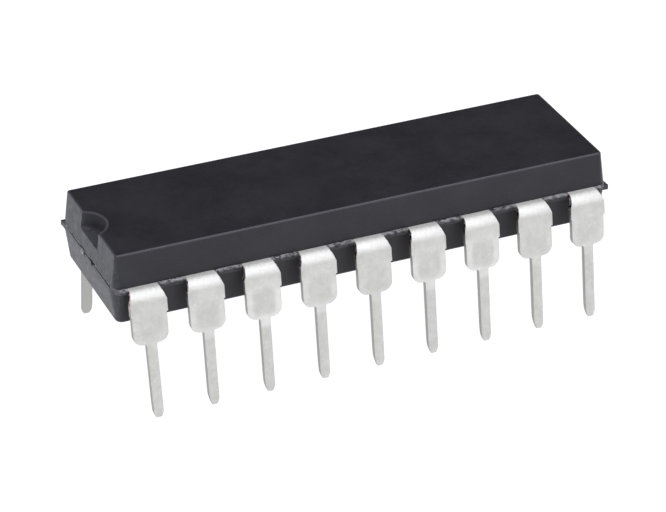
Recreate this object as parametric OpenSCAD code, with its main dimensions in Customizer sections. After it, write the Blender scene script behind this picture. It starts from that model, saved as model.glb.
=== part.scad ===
// Plastic dual in-line integrated circuit with two rows of nine leads, drawn in millimetres.
// X runs along the body with the notched end at -X, +Z is up and the lead tips stand on Z = 0.
// Leads 1 to 9 form the front row at -Y, counted from the notched end. Leads 10 to 18 run back
// along the far row, so lead 18 faces lead 1.

/* [Lead rows] */
// Distance between neighbouring leads
lead_pitch = 2.54; // [2.44:0.01:2.6]
// Leads in each row
leads_per_row = 9; // [7:1:9]
// Thickness of the sheet that all leads and the die pad are stamped from
sheet_t = 0.25; // [0.2:0.01:0.3]
// Height of the sheet's top face above the tips
sheet_top = 5.68; // [5.4:0.01:6.2]

/* [Moulded body] */
// Width of the upper half at the parting line
body_w = 6.54; // [6.3:0.02:7]
// Plastic beyond the centre of the last lead, at the parting line
body_end = 1.24; // [1.1:0.02:1.4]
// Plastic above the sheet
upper_h = 1.52; // [1.3:0.01:1.7]
// Plastic below the sheet
lower_h = 1.44; // [1.25:0.01:1.6]
// Draft of the four sides, as run for each millimetre of height
draft = 0.12; // [0.07:0.01:0.14]
// How far the lower half stands out beyond the upper half where the mould halves differ
half_step = 0.04; // [0.01:0.01:0.08]
// Corner radius of the upper half at the parting line
upper_corner_r = 0.32; // [0.28:0.02:0.5]
// Corner radius of the lower half at the parting line
lower_corner_r = 0.48; // [0.34:0.02:0.6]
// Radius along the edges of the top face
top_edge_r = 0.07; // [0.03:0.01:0.08]
// Radius along the edges of the underside
under_edge_r = 0.12; // [0.05:0.01:0.14]
// Height of the fine groove along the parting line
groove_h = 0.04; // [0.02:0.01:0.08]
// Depth of that groove
groove_in = 0.05; // [0.02:0.01:0.08]

/* [Notch] */
// Radius of the half-round index notch at the top face
notch_r = 1.13; // [0.8:0.01:1.3]
// How far the notch reaches into the top face from the parting line end
notch_reach = 0.86; // [0.8:0.02:1.2]
// Depth of the notch floor below the top face
notch_depth = 0.76; // [0.6:0.01:1]
// Radius between the notch floor and its wall
notch_fillet = 0.18; // [0.05:0.01:0.3]
// Draft of the notch wall in degrees
notch_draft = 3; // [0:1:6]
// Radius of the small chips beside the tie bar ends
chip_r = 0.12; // [0.06:0.01:0.16]
// Depth of those chips
chip_depth = 0.1; // [0.05:0.01:0.15]

/* [Flash] */
// Furthest that the trimmed flash stands out between the leads
flash_out = 0.11; // [0.04:0.01:0.14]
// Length of each facet of the torn edge of the flash
flash_l = 0.3; // [0.2:0.05:0.6]
// How far the flash spikes stand out past the sides at the two torn corners
spike_out = 0.03; // [0.02:0.01:0.1]
// Width of the flash spikes at their root
spike_w = 0.5; // [0.3:0.05:0.8]

/* [Lead shape] */
// Width of a lead where it leaves the body
exit_w = 1.32; // [1.1:0.02:1.4]
// Width of the shoulder
shoulder_w = 1.56; // [1.46:0.02:1.7]
// Width of the pin
pin_w = 0.46; // [0.38:0.01:0.56]
// Height of the underside of the shoulder above the tips
pin_l = 3.37; // [3:0.01:3.7]
// Straight run between the body and the bend
bend_run = 0.2; // [0.1:0.02:0.3]
// Outer radius of the bend
bend_r = 0.48; // [0.35:0.01:0.6]
// Outward lean of the legs in degrees
splay = 7.7; // [0:0.1:10]
// Sideways lean of the first pin in degrees
first_pin_lean = 0.7; // [0:0.1:3]
// Width of a lead at the top of the bend
bend_w = 1.38; // [1.36:0.01:1.42]
// Radius of the lower shoulder corners
shoulder_r = 0.42; // [0.2:0.02:0.5]
// Radius of the inside corners between shoulder and pin
crotch_r = 0.08; // [0.04:0.01:0.1]
// Height of the lower edge of the dam bar cut above the tips
dam_low = 4.67; // [4.5:0.01:4.8]
// Height of the dam bar cut
dam_h = 0.6; // [0.5:0.01:0.66]
// How far the cut ends of the dam bar stand out from the edges of the shoulder
dam_out = 0.045; // [0.035:0.005:0.07]
// Sideways error of the dam bar cut, which leaves one of the two ends longer
dam_shift = 0.02; // [0:0.01:0.03]
// Width of the flat end of the tip
tip_w = 0.22; // [0.1:0.01:0.3]
// Length over which the tip rounds off
tip_l = 0.3; // [0.2:0.02:0.6]

/* [Lead frame inside] */
// Length of the die pad
pad_l = 4; // [3.4:0.1:4.2]
// Width of the die pad
pad_w = 2.6; // [2.4:0.05:2.7]
// Corner radius of the die pad
pad_r = 0.15; // [0.05:0.05:0.3]
// How far the pad is pushed down below the sheet
pad_drop = 0.3; // [0.2:0.02:0.5]
// Length of the sloped part of each tie bar
slope_l = 0.5; // [0.3:0.05:0.8]
// Flat length of a tie bar between the pad and its slope
slope_start = 0.2; // [0.1:0.05:0.4]
// Width of the tie bars
tie_w = 0.3; // [0.2:0.02:0.34]
// Distance from the middle line to the centre of a tie bar leg
leg_y = 0.62; // [0.5:0.02:0.7]
// Width of the two legs that a tie bar splits into
leg_w = 0.5; // [0.3:0.02:0.6]
// Length of the two legs
leg_l = 2.2; // [1.6:0.1:2.4]
// How far the near leg at the notch ends short of the face, under a film of plastic
leg_short = 0.1; // [0.04:0.02:0.2]
// Clearance between the fingers and the die pad
finger_gap = 0.3; // [0.24:0.02:0.36]
// Length of a finger's root, of full width, inside the edge of the body
root_l = 0.45; // [0.35:0.05:0.55]
// Width of a finger at its first bend, as a share of the depth from the roots to the fingertips
finger_share = 0.38; // [0.3:0.01:0.4]
// Width of a finger at its tip, as a share of that depth
tip_share = 0.23; // [0.17:0.01:0.25]
// Distance between the fingertips along the pad's long sides
tip_pitch = 0.85; // [0.8:0.01:0.9]
// Distance between the fingertips at the pad's ends
end_tip_pitch = 0.5; // [0.48:0.01:0.52]
// Straight end of the fingers that run to the pad's ends
end_run_l = 1.05; // [0.8:0.05:1.2]

/* [Die and bond wires] */
// Length of the die
die_l = 2.6; // [2:0.1:3]
// Width of the die
die_w = 1.9; // [1.4:0.1:2.1]
// Thickness of the die
die_t = 0.35; // [0.25:0.01:0.4]
// Thickness of the adhesive under the die
glue_t = 0.03; // [0.02:0.01:0.05]
// How far the adhesive runs out past the die
glue_out = 0.08; // [0.04:0.02:0.16]
// Diameter of the bond wires along their straight runs
wire_d = 0.033; // [0.025:0.001:0.034]
// Diameter of the bond wires round their loop
loop_d = 0.036; // [0.036:0.001:0.05]
// Straight rise of a wire above the die
wire_rise = 0.12; // [0.08:0.01:0.2]
// Radius of a wire's loop
loop_r = 0.12; // [0.08:0.01:0.16]
// Diameter of the ball at the foot of a wire
ball_d = 0.085; // [0.07:0.005:0.1]
// Height of the ball
ball_h = 0.02; // [0.015:0.005:0.03]
// Length of the flattened end of a wire
stitch_l = 0.1; // [0.06:0.01:0.12]
// Thickness of the flattened end
stitch_t = 0.012; // [0.008:0.001:0.016]
// Distance from the edge of the die to its bond pads
bond_inset = 0.12; // [0.08:0.01:0.2]
// Distance between the bond pads along the long edges of the die
bond_pitch = 0.45; // [0.35:0.01:0.5]
// Distance between the bond pads at the short edges of the die
end_bond_pitch = 0.27; // [0.24:0.01:0.29]

/* [Hidden] */
$fn = 48;
lead_count = 2 * leads_per_row;

// How far cutters run past the faces that they cut
over = 1;
// How far shapes drawn one after the other for one piece reach into each other
bite = 0.006;
row_l = (leads_per_row - 1) * lead_pitch;
body_l = row_l + 2 * body_end;
sheet_bottom = sheet_top - sheet_t;
body_top = sheet_top + upper_h;
body_bottom = sheet_bottom - lower_h;
pad_top = sheet_top - pad_drop;
glue_top = pad_top + glue_t;
die_top = glue_top + die_t;

// Leads with a greater offset than this from the middle of the row end at the short sides of the pad
side_limit = 2.2;
// Depth from the roots to the fingertips along the pad's long sides
finger_room = body_w / 2 - root_l - pad_w / 2 - finger_gap;
finger_w = finger_share * finger_room;
finger_tip_w = tip_share * finger_room;
// First bend of a finger, as a share of that depth: on the long sides, and for the outermost
// finger of a row and how much sooner its neighbour bends
knee = 0.27;
end_knee = 0.77;
knee_lead = 0.25;

plastic = [0.16, 0.16, 0.17];
tin = [0.78, 0.78, 0.77];
silicon = [0.35, 0.37, 0.42];
glue = [0.85, 0.85, 0.86];
gold = [0.9, 0.72, 0.3];

// Place of lead n along its row, in pitches from the middle, and its X
function place(n) = (n <= leads_per_row ? n - 1 : lead_count - n) - (leads_per_row - 1) / 2;
function lead_x(n) = place(n) * lead_pitch;
function is_front(n) = n <= leads_per_row;
// Number of a lead counted from the nearer end of its row, the outermost being 1
function rank(n) = (leads_per_row + 1) / 2 - abs(place(n));

// Everything for one lead is drawn at +Y, and the front row is its mirror image
module on_row(n) {
    mirror([0, is_front(n) ? 1 : 0, 0]) children();
}

// Extrudes a drawing of Y and Z along X, centred on X = 0
module along_x(length) {
    translate([-length / 2, 0, 0]) rotate([90, 0, 90]) linear_extrude(length) children();
}

// Extrudes a drawing of X and Z along Y, centred on Y = 0
module along_y(length) {
    translate([0, length / 2, 0]) rotate([90, 0, 0]) linear_extrude(length) children();
}

// One side of a drafted section, from its middle line out to reach, with a rounded outer edge.
// Insets are kept to a tenth of a micrometre, so that sides and corners of any reach agree.
function fine(v) = round(v * 10000) / 10000;
function half_points(reach, height, edge_r) =
    let (lean = atan(draft), steps = 4, centre_z = height - edge_r,
         centre_in = centre_z * draft + edge_r / cos(lean))
    concat([[0, 0], [reach, 0]],
           [for (k = [0:steps]) let (a = lean + (90 - lean) * k / steps)
               [reach - fine(centre_in - edge_r * cos(a)), fine(centre_z + edge_r * sin(a))]],
           [[0, height]]);

module full_section(reach, height, edge_r) {
    points = half_points(reach, height, edge_r);
    polygon(concat(points, [for (k = [len(points) - 2:-1:1]) [-points[k].x, points[k].y]]));
}

// One half of the moulding above Z = 0: drafted sides that meet in conical corners
module moulding_half(length, width, height, corner_r, edge_r) {
    difference() {
        intersection() {
            along_x(length) full_section(width / 2, height, edge_r);
            along_y(width) full_section(length / 2, height, edge_r);
        }
        for (mx = [0, 1], my = [0, 1])
            mirror([mx, 0, 0]) mirror([0, my, 0])
                translate([length / 2 - corner_r, width / 2 - corner_r, 0])
                    difference() {
                        translate([0, 0, -over]) cube([over, over, height + 2 * over]);
                        rotate_extrude() polygon(half_points(corner_r, height, edge_r));
                    }
    }
}

// Rectangle with rounded corners, centred
module rounded_plate(length, width, corner_r) {
    difference() {
        square([length, width], center = true);
        for (mx = [0, 1], my = [0, 1])
            mirror([mx, 0]) mirror([0, my])
                translate([length / 2 - corner_r, width / 2 - corner_r])
                    difference() {
                        square(corner_r + over);
                        circle(corner_r);
                    }
    }
}

// Torn edge of the flash along one long side, drawn at +Y from the given side outwards
module torn_strip(side, seed) {
    steps = ceil((row_l + 2 * body_end - 2 * lower_corner_r) / flash_l);
    step = (row_l + 2 * body_end - 2 * lower_corner_r) / steps;
    torn = rands(0.35, 1, steps + 1, seed);
    polygon(concat([[-step * steps / 2, side - over], [-step * steps / 2, side]],
                   [for (k = [0:steps]) [step * (k - steps / 2), side + flash_out * torn[k]]],
                   [[step * steps / 2, side], [step * steps / 2, side - over]]));
}

// Flash spike at the corner at +X and +Y
module spike(length, width, corner_r) {
    corner = [length / 2, width / 2];
    polygon([corner - [spike_w, 0.5 * corner_r], corner - [spike_w, 0], corner + [-0.1, 0.2] * spike_out,
             corner + [spike_out, spike_out], corner + [0.2, -0.4] * spike_out,
             corner - [0, spike_w], corner - [0.5 * corner_r, spike_w]]);
}

// Half-round pocket that marks the end of lead 1
module notch() {
    top_r = notch_r + over * tan(notch_draft);
    centre = [notch_r - (notch_depth - notch_fillet) * tan(notch_draft)
              - notch_fillet / cos(notch_draft), notch_fillet];
    steps = 6;
    turn = (90 - notch_draft) / steps;
    wall = [for (k = [0:steps]) let (a = -90 + turn * k)
                [fine(centre.x + notch_fillet * cos(a)), fine(centre.y + notch_fillet * sin(a))]];
    translate([-body_l / 2 + notch_reach - notch_r, 0, body_top - notch_depth])
        rotate_extrude($fn = 96)
            polygon(concat([[0, 0]], wall, [[fine(top_r), notch_depth + over], [0, notch_depth + over]]));
}

// Small chips in the plastic at the two tie bar legs of the notched end
module chips() {
    for (y = [leg_y - leg_w / 2, -leg_y])
        translate([-body_l / 2 - half_step - over, y, sheet_top - groove_h])
            rotate([0, 90, 0]) cylinder(r = chip_r, h = over + chip_depth);
}

module moulding() {
    lower_l = body_l + 2 * half_step;
    lower_w = body_w + 2 * half_step;
    difference() {
        union() {
            translate([0, 0, sheet_top])
                moulding_half(body_l, body_w, upper_h, upper_corner_r, top_edge_r);
            translate([0, 0, sheet_top - groove_h]) linear_extrude(groove_h)
                rounded_plate(body_l - 2 * groove_in, body_w - 2 * groove_in, upper_corner_r);
            translate([0, 0, sheet_bottom]) linear_extrude(sheet_t - groove_h)
                rounded_plate(lower_l, lower_w, lower_corner_r);
            translate([0, 0, sheet_bottom]) mirror([0, 0, 1])
                moulding_half(lower_l, lower_w, lower_h, lower_corner_r, under_edge_r);
            translate([0, 0, sheet_bottom]) linear_extrude(sheet_t) {
                torn_strip(lower_w / 2, 3);
                mirror([0, 1]) torn_strip(lower_w / 2, 8);
                for (s = [0, 1]) mirror([s, 0]) mirror([0, 1 - s]) spike(lower_l, lower_w, lower_corner_r);
            }
        }
        notch();
        chips();
    }
}

// Moulded body, cast round everything inside it
module body() {
    color(plastic) difference() {
        moulding();
        for (n = [1:lead_count]) {
            lead_solid(n);
            bond_wire_solid(n);
        }
        die_pad_solid();
        die_attach_solid();
        die_solid();
    }
}

// Section of a lead across its row: flat root, bend and straight leg, for a row at +Y
module lead_side() {
    inner_r = bend_r - sheet_t;
    centre_z = sheet_top - bend_r;
    drop = (centre_z + inner_r * sin(splay)) / cos(splay);
    translate([body_w / 2 + bend_run, centre_z]) {
        translate([-bend_run, inner_r]) square([bend_run, sheet_t]);
        intersection() {
            rotate(splay) {
                difference() {
                    circle(bend_r);
                    circle(inner_r);
                    translate([-over, -over]) square([2 * over, over]);
                }
                translate([inner_r, -drop]) square([sheet_t, drop]);
            }
            translate([0, -2 * drop]) square([2 * drop, 3 * drop]);
        }
    }
}

// Outline of a lead seen from above, limiting its width between the body and the bend
module lead_plan() {
    side = body_w / 2;
    full_y = side + bend_run + bend_r - sheet_t;
    far_y = side + body_w;
    polygon([[-exit_w / 2, side], [exit_w / 2, side], [bend_w / 2, full_y], [shoulder_w, full_y],
             [shoulder_w, far_y], [-shoulder_w, far_y], [-shoulder_w, full_y],
             [-bend_w / 2, full_y]]);
}

// Rounded shoulder, sheared dam bar and pin, seen along Y
module lead_front(lean) {
    dam_top = dam_low + dam_h;
    dam_left = dam_shift - shoulder_w / 2 - dam_out;
    dam_right = dam_shift + shoulder_w / 2 + dam_out;
    // From the bend down to the cut ends of the dam bar
    polygon([[dam_left, dam_low], [dam_right, dam_low], [dam_right, dam_top],
             [bend_w / 2, sheet_top], [bend_w / 2, sheet_top + over], [-bend_w / 2, sheet_top + over],
             [-bend_w / 2, sheet_top], [dam_left, dam_top]]);
    // Shoulder with two rounded corners
    difference() {
        translate([-shoulder_w / 2, pin_l]) square([shoulder_w, dam_low - pin_l + bite]);
        for (m = [0, 1])
            mirror([m, 0]) translate([shoulder_w / 2 - shoulder_r, pin_l + shoulder_r])
                difference() {
                    translate([0, -shoulder_r - over]) square([shoulder_r + over, shoulder_r + over]);
                    circle(shoulder_r);
                }
    }
    translate([0, pin_l]) rotate(lean) pin_outline();
}

// Pin with a rounded tip, hanging from the origin, with rounded inside corners at the shoulder
module pin_outline() {
    side_in = (pin_w - tip_w) / 2;
    tip = [for (a = [0:15:90]) [tip_w / 2 + side_in * cos(a), tip_l * (1 - sin(a)) - pin_l]];
    polygon(concat([[pin_w / 2, crotch_r]], tip, [for (k = [len(tip) - 1:-1:0]) [-tip[k].x, tip[k].y]],
                   [[-pin_w / 2, crotch_r]]));
    for (m = [0, 1])
        mirror([m, 0]) difference() {
            translate([pin_w / 2 - crotch_r, -crotch_r]) square([2 * crotch_r, 2 * crotch_r]);
            translate([pin_w / 2 + crotch_r, -crotch_r]) circle(crotch_r);
        }
}

// Width changes along a finger: [x, y, half width] from the root to the tip, for a row at +Y
function finger_path(n) =
    let (u = place(n), x = lead_x(n), side = body_w / 2, root = side - root_l)
    abs(u) < side_limit
        ? [[x, side, exit_w / 2], [x, root, exit_w / 2], [x, root - knee * finger_room, finger_w / 2],
           [u * tip_pitch, root - finger_room, finger_tip_w / 2]]
        : let (tip_y = end_tip_pitch * rank(n), tip_x = sign(u) * (pad_l / 2 + finger_gap),
               bend = end_knee - knee_lead * (rank(n) - 1))
          [[x, side, exit_w / 2], [x, root, exit_w / 2], [x, root - bend * finger_room, finger_w / 2],
           [tip_x + sign(u) * end_run_l, tip_y, finger_tip_w / 2], [tip_x, tip_y, finger_tip_w / 2]];

function unit(v) = v / norm(v);
function left_of(v) = [-v.y, v.x];

// Offset from vertex k of a path to its left edge, mitred between the two neighbouring runs
function mitre(path, k) =
    let (here = [path[k].x, path[k].y],
         before = k > 0 ? unit(here - [path[k - 1].x, path[k - 1].y]) : undef,
         after = k < len(path) - 1 ? unit([path[k + 1].x, path[k + 1].y] - here) : undef,
         a = is_undef(before) ? after : before,
         b = is_undef(after) ? before : after)
    path[k].z * (left_of(a) + left_of(b)) / (1 + a * b);

// Strip of changing width along a path
module strip(path) {
    last = len(path) - 1;
    polygon(concat([for (k = [0:last]) [path[k].x, path[k].y] + mitre(path, k)],
                   [for (k = [last:-1:0]) [path[k].x, path[k].y] - mitre(path, k)]));
}

// One lead with its inner finger, stamped and bent from the sheet
module lead_solid(n) {
    on_row(n) {
        translate([lead_x(n), 0, 0])
            intersection() {
                along_x(2 * shoulder_w) lead_side();
                translate([0, 0, -over]) linear_extrude(sheet_top + 2 * over) lead_plan();
                translate([0, body_w, 0]) along_y(3 * body_w)
                    lead_front(n == 1 ? first_pin_lean : 0);
            }
        translate([0, 0, sheet_bottom]) linear_extrude(sheet_t) strip(finger_path(n));
    }
}

module lead(n) {
    color(tin) lead_solid(n);
}

// Tie bar towards +X: flat, slope and flat again, then a fork round a slot with a round end
module tie_bar() {
    end_x = body_l / 2 + half_step;
    fork_x = end_x - leg_l;
    low_x = pad_l / 2 + slope_start;
    high_x = low_x + slope_l;
    slot_r = leg_y - leg_w / 2;
    along_y(tie_w) polygon([
        [pad_l / 2 - pad_r, pad_top - sheet_t], [low_x, pad_top - sheet_t], [high_x, sheet_bottom],
        [fork_x, sheet_bottom], [fork_x, sheet_top], [high_x, sheet_top], [low_x, pad_top],
        [pad_l / 2 - pad_r, pad_top]]);
    translate([0, 0, sheet_bottom]) linear_extrude(sheet_t) difference() {
        translate([fork_x - leg_w, -leg_y - leg_w / 2]) square([leg_l + leg_w, 2 * leg_y + leg_w]);
        translate([fork_x + slot_r, 0]) circle(slot_r);
        translate([fork_x + slot_r, -slot_r]) square([leg_l + over, 2 * slot_r]);
    }
}

// Die pad, pushed down below the sheet, with a tie bar to each end of the body
module die_pad_solid() {
    translate([0, 0, pad_top - sheet_t]) linear_extrude(sheet_t) rounded_plate(pad_l, pad_w, pad_r);
    tie_bar();
    difference() {
        mirror([1, 0, 0]) tie_bar();
        translate([-body_l / 2 - half_step - over, -leg_y - leg_w, sheet_bottom - over])
            cube([over + leg_short, leg_y + leg_w, sheet_t + 2 * over]);
    }
}

module die_pad() {
    color(tin) die_pad_solid();
}

module die_attach_solid() {
    translate([0, 0, pad_top]) linear_extrude(glue_t)
        rounded_plate(die_l + 2 * glue_out, die_w + 2 * glue_out, glue_out);
}

module die_attach() {
    color(glue) die_attach_solid();
}

module die_solid() {
    translate([-die_l / 2, -die_w / 2, glue_top]) cube([die_l, die_w, die_t]);
}

module die() {
    color(silicon) die_solid();
}

// Foot of a wire on the die, and the middle of its stitch on the finger
function bond_point(n) =
    let (u = place(n))
    abs(u) < side_limit ? [u * bond_pitch, die_w / 2 - bond_inset]
                        : [sign(u) * (die_l / 2 - bond_inset), end_bond_pitch * rank(n)];
function stitch_point(n) =
    let (path = finger_path(n), last = len(path) - 1,
         tip = [path[last].x, path[last].y], back = [path[last - 1].x, path[last - 1].y])
    tip + unit(back - tip) * finger_tip_w;

// Wire in a plane of its own: ball above the origin, stitch at X = span, Z = 0 on the sheet
module wire_loop(span) {
    foot = die_top - sheet_top;
    centre_z = foot + wire_rise;
    run = span - loop_r;
    reach = norm([run, centre_z]);
    fall = atan2(centre_z, run) + asin(loop_r / reach);
    straight = sqrt(reach * reach - loop_r * loop_r);
    translate([0, 0, foot]) {
        cylinder(d = ball_d, h = ball_h);
        translate([0, 0, ball_h]) cylinder(d1 = ball_d * 0.8, d2 = wire_d, h = ball_h);
        cylinder(d = wire_d, h = wire_rise + bite);
    }
    difference() {
        translate([loop_r, 0, centre_z]) {
            rotate([90, 0, 0]) rotate([0, 0, 90 - fall]) rotate_extrude(angle = 90 + fall)
                translate([loop_r, 0]) circle(d = loop_d, $fn = 24);
            rotate([0, fall, 0]) translate([-bite, 0, loop_r]) rotate([0, 90, 0])
                cylinder(d = wire_d, h = straight + wire_d + bite, $fn = 24);
        }
        translate([0, -over, -over]) cube([span + over, 2 * over, over]);
    }
    translate([span - wire_d / 2, -wire_d, 0]) cube([stitch_l, 2 * wire_d, stitch_t]);
}

module bond_wire_solid(n) {
    on_row(n) {
        from = bond_point(n);
        to = stitch_point(n);
        translate([from.x, from.y, sheet_top]) rotate(atan2(to.y - from.y, to.x - from.x))
            wire_loop(norm(to - from));
    }
}

module bond_wire(n) {
    color(gold) bond_wire_solid(n);
}

body();
die_pad();
die_attach();
die();
for (n = [1:lead_count]) {
    lead(n);
    bond_wire(n);
}
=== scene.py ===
# %% [markdown]
# # A dual in-line chip with two rows of nine leads
# The part is a small black moulding with a half-round notch at one end and eighteen tinned leads.
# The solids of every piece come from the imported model. They are loaded first and stay as they are.
# This lesson dresses them: the leads are made again with the rounded edges that stamping leaves, the
# torn resin between the leads is added, and every piece gets a finish built from nodes.
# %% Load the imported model
import math

import bmesh
import bpy
from mathutils import Matrix, Vector, noise


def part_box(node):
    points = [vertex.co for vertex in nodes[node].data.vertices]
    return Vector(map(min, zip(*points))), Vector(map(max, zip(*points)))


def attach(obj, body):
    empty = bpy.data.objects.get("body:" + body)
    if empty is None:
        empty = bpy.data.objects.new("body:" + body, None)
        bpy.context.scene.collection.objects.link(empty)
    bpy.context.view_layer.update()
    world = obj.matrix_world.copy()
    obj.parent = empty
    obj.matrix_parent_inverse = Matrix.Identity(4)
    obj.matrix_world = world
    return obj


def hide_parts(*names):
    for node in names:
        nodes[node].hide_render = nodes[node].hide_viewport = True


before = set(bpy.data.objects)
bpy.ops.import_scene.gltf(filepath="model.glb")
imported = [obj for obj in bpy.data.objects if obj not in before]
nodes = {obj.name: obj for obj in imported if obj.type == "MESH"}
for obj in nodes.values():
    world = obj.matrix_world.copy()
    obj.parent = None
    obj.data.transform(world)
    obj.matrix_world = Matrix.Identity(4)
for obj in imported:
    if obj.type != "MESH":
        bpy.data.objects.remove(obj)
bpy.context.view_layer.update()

print("solids loaded:", len(nodes))

# %% [markdown]
# ## The camera
# A camera is easiest to place by the point that it looks at, the angle round the part, the height
# angle and the distance. A long lens from 14 cm keeps the rows of leads nearly parallel, as in a
# catalogue picture. The last small turn about the line of sight levels the part in the frame.
# %% Place the camera
MM = 0.001
SENSOR_W, NEAREST, FURTHEST = 36.0, 0.005, 5.0


def camera_towards(name, target_mm, azimuth, elevation, distance_mm, lens_mm, roll):
    """Camera that looks at a point. Azimuth 0 is straight in front, and negative is to the left."""
    a, e = math.radians(azimuth), math.radians(elevation)
    back = Vector((math.sin(a) * math.cos(e), -math.cos(a) * math.cos(e), math.sin(e)))
    data = bpy.data.cameras.new(name)
    data.lens, data.sensor_width = lens_mm, SENSOR_W
    data.clip_start, data.clip_end = NEAREST, FURTHEST
    camera = bpy.data.objects.new(name, data)
    bpy.context.scene.collection.objects.link(camera)
    turn = back.to_track_quat("Z", "Y").to_matrix() @ Matrix.Rotation(math.radians(roll), 3, "Z")
    camera.matrix_world = Matrix.Translation((Vector(target_mm) + back * distance_mm) * MM) @ turn.to_4x4()
    return camera


camera = camera_towards("camera", target_mm=(2.562, 6.546, -1.114), azimuth=-22.90, elevation=30.16,
                        distance_mm=141.1, lens_mm=164.2, roll=-0.432)
bpy.context.scene.camera = camera
print("camera at (mm):", [round(v / MM, 1) for v in camera.location])

# %% [markdown]
# ## Floor and light
# The part stands on its lead tips on a plain pale floor. The floor could be white card, but a small
# part then needs much light to make it look white. Here it glows like a light table, so it stays
# white, and it lights the front and the notched end from below, which is why these faces look
# lighter than the top.
# %% Lay the floor
FLOOR_HALF_W = 3.0
CARD, GLOW = (0.12, 0.12, 0.12, 1), (1, 1, 1.06, 1)


def plain_floor(name, h):
    mesh = bpy.data.meshes.new(name)
    mesh.from_pydata([(-h, -h, 0), (h, -h, 0), (h, h, 0), (-h, h, 0)], [], [(0, 1, 2, 3)])
    floor = bpy.data.objects.new(name, mesh)
    bpy.context.scene.collection.objects.link(floor)
    material = bpy.data.materials.new("white_table")
    material.use_nodes = True
    shader = material.node_tree.nodes["Principled BSDF"]
    shader.inputs["Base Color"].default_value = CARD
    shader.inputs["Roughness"].default_value = 0.9
    shader.inputs["Specular IOR Level"].default_value = 0.0
    shader.inputs["Emission Color"].default_value = GLOW
    shader.inputs["Emission Strength"].default_value = 1.0
    mesh.materials.append(material)
    return floor


floor = plain_floor("floor", FLOOR_HALF_W)
print("floor is", 2 * FLOOR_HALF_W, "m wide")

# %% [markdown]
# A large soft box hangs overhead and gives the bends of the leads their white band, while the top
# face mirrors the dim far side of the room and stays nearly black. A box in front lifts the
# shoulders of the near row. A small one at the back left puts some light on the inner faces of the
# leads and on the notched end.
# %% Hang the soft boxes
LAMP_TONE, ROOM_TONE = (0.945, 0.945, 1.0), (0.06, 0.06, 0.063, 1)


def soft_box(name, place, aim, size, power):
    """Square area light; place, aim and size are in metres and power is in watts."""
    data = bpy.data.lights.new(name, "AREA")
    data.shape, data.size, data.energy, data.color = "SQUARE", size, power, LAMP_TONE
    light = bpy.data.objects.new(name, data)
    light.location = place
    light.rotation_euler = (Vector(aim) - Vector(place)).to_track_quat("-Z", "Y").to_euler()
    bpy.context.scene.collection.objects.link(light)
    return light


boxes = [soft_box("box_overhead", place=(0.05, -0.08, 0.4), aim=(0.05, -0.08, 0), size=0.56, power=2.3),
         soft_box("box_front", place=(0.28, -0.72, 0.36), aim=(0, 0, 0.05), size=0.6, power=2.0),
         soft_box("box_back_left", place=(-0.42, 0.48, 0.2), aim=(0, 0, 0), size=0.36, power=0.8)]

world = bpy.data.worlds.new("dim_room")
world.use_nodes = True
world.node_tree.nodes["Background"].inputs["Color"].default_value = ROOM_TONE
bpy.context.scene.world = world
bpy.context.scene.view_settings.view_transform = "Standard"
print("lights:", [box.name for box in boxes])

# %% [markdown]
# ## Tools for building materials
# Every finish is a small tree of nodes. An input of a node holds either a fixed value or the output
# of another node. The helpers treat both alike, so that a tree can be written down from its source
# to its end, with one short line for each step.
# %% Node helpers
def feed(tree, source, socket):
    """Joins an output to a node's input, or sets the input to a fixed value."""
    if isinstance(source, bpy.types.NodeSocket):
        tree.links.new(source, socket)
    else:
        socket.default_value = source


def add(tree, kind, inputs=(), **settings):
    """Adds a node. inputs feeds its sockets by name or number, settings sets the node's options."""
    node = tree.nodes.new(kind)
    for key, value in settings.items():
        setattr(node, key, value)
    for key, source in dict(inputs).items():
        feed(tree, source, node.inputs[key])
    return node


def maths(tree, operation, *operands, clamp=False):
    node = add(tree, "ShaderNodeMath", dict(enumerate(operands)), operation=operation, use_clamp=clamp)
    return node.outputs[0]


def vector_maths(tree, operation, *operands):
    node = add(tree, "ShaderNodeVectorMath", dict(enumerate(operands)), operation=operation)
    return node.outputs["Value" if operation == "LENGTH" else "Vector"]


# %% [markdown]
# Two more helpers do most of the work. A ramp turns a distance or a noise into a mask, and a mix
# turns a mask into a colour between two others. The Mix node has several sockets of one name, so
# its colour sockets are taken by number.
# %% Ramps and mixes
MIX_FACTOR, MIX_A, MIX_B, MIX_RESULT = 0, 6, 7, 2


def ramp(tree, value, start, end, low=0.0, high=1.0, smooth=False):
    """Runs from low to high while value runs from start to end, and holds there beyond them."""
    node = add(tree, "ShaderNodeMapRange",
               {"Value": value, "From Min": start, "From Max": end, "To Min": low, "To Max": high},
               interpolation_type="SMOOTHSTEP" if smooth else "LINEAR")
    return node.outputs["Result"]


def mix(tree, factor, low, high):
    node = add(tree, "ShaderNodeMix", {MIX_FACTOR: factor, MIX_A: low, MIX_B: high}, data_type="RGBA")
    return node.outputs[MIX_RESULT]


def place_mm(tree):
    """The place on the surface in millimetres, in the model's own frame."""
    where = add(tree, "ShaderNodeTexCoord")
    return vector_maths(tree, "MULTIPLY", where.outputs["Object"], (1 / MM, 1 / MM, 1 / MM))


def axes_mm(tree):
    return add(tree, "ShaderNodeSeparateXYZ", {0: place_mm(tree)}).outputs


# %% [markdown]
# An effect that comes back in several materials is a group, because a change to it then shows in
# all of them. A group has named inputs, which each material fills in with its own values.
# %% Groups of nodes
FLOAT = "NodeSocketFloat"


def new_group(name, inputs, outputs):
    """Group of float sockets. inputs holds (name, start value), and outputs holds names."""
    group = bpy.data.node_groups.new(name, "ShaderNodeTree")
    for label, value in inputs:
        group.interface.new_socket(label, in_out="INPUT", socket_type=FLOAT).default_value = value
    for label in outputs:
        group.interface.new_socket(label, in_out="OUTPUT", socket_type=FLOAT)
    return group, add(group, "NodeGroupInput").outputs, add(group, "NodeGroupOutput").inputs


def place_group(tree, group, inputs=()):
    return add(tree, "ShaderNodeGroup", inputs, node_tree=group).outputs


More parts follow.
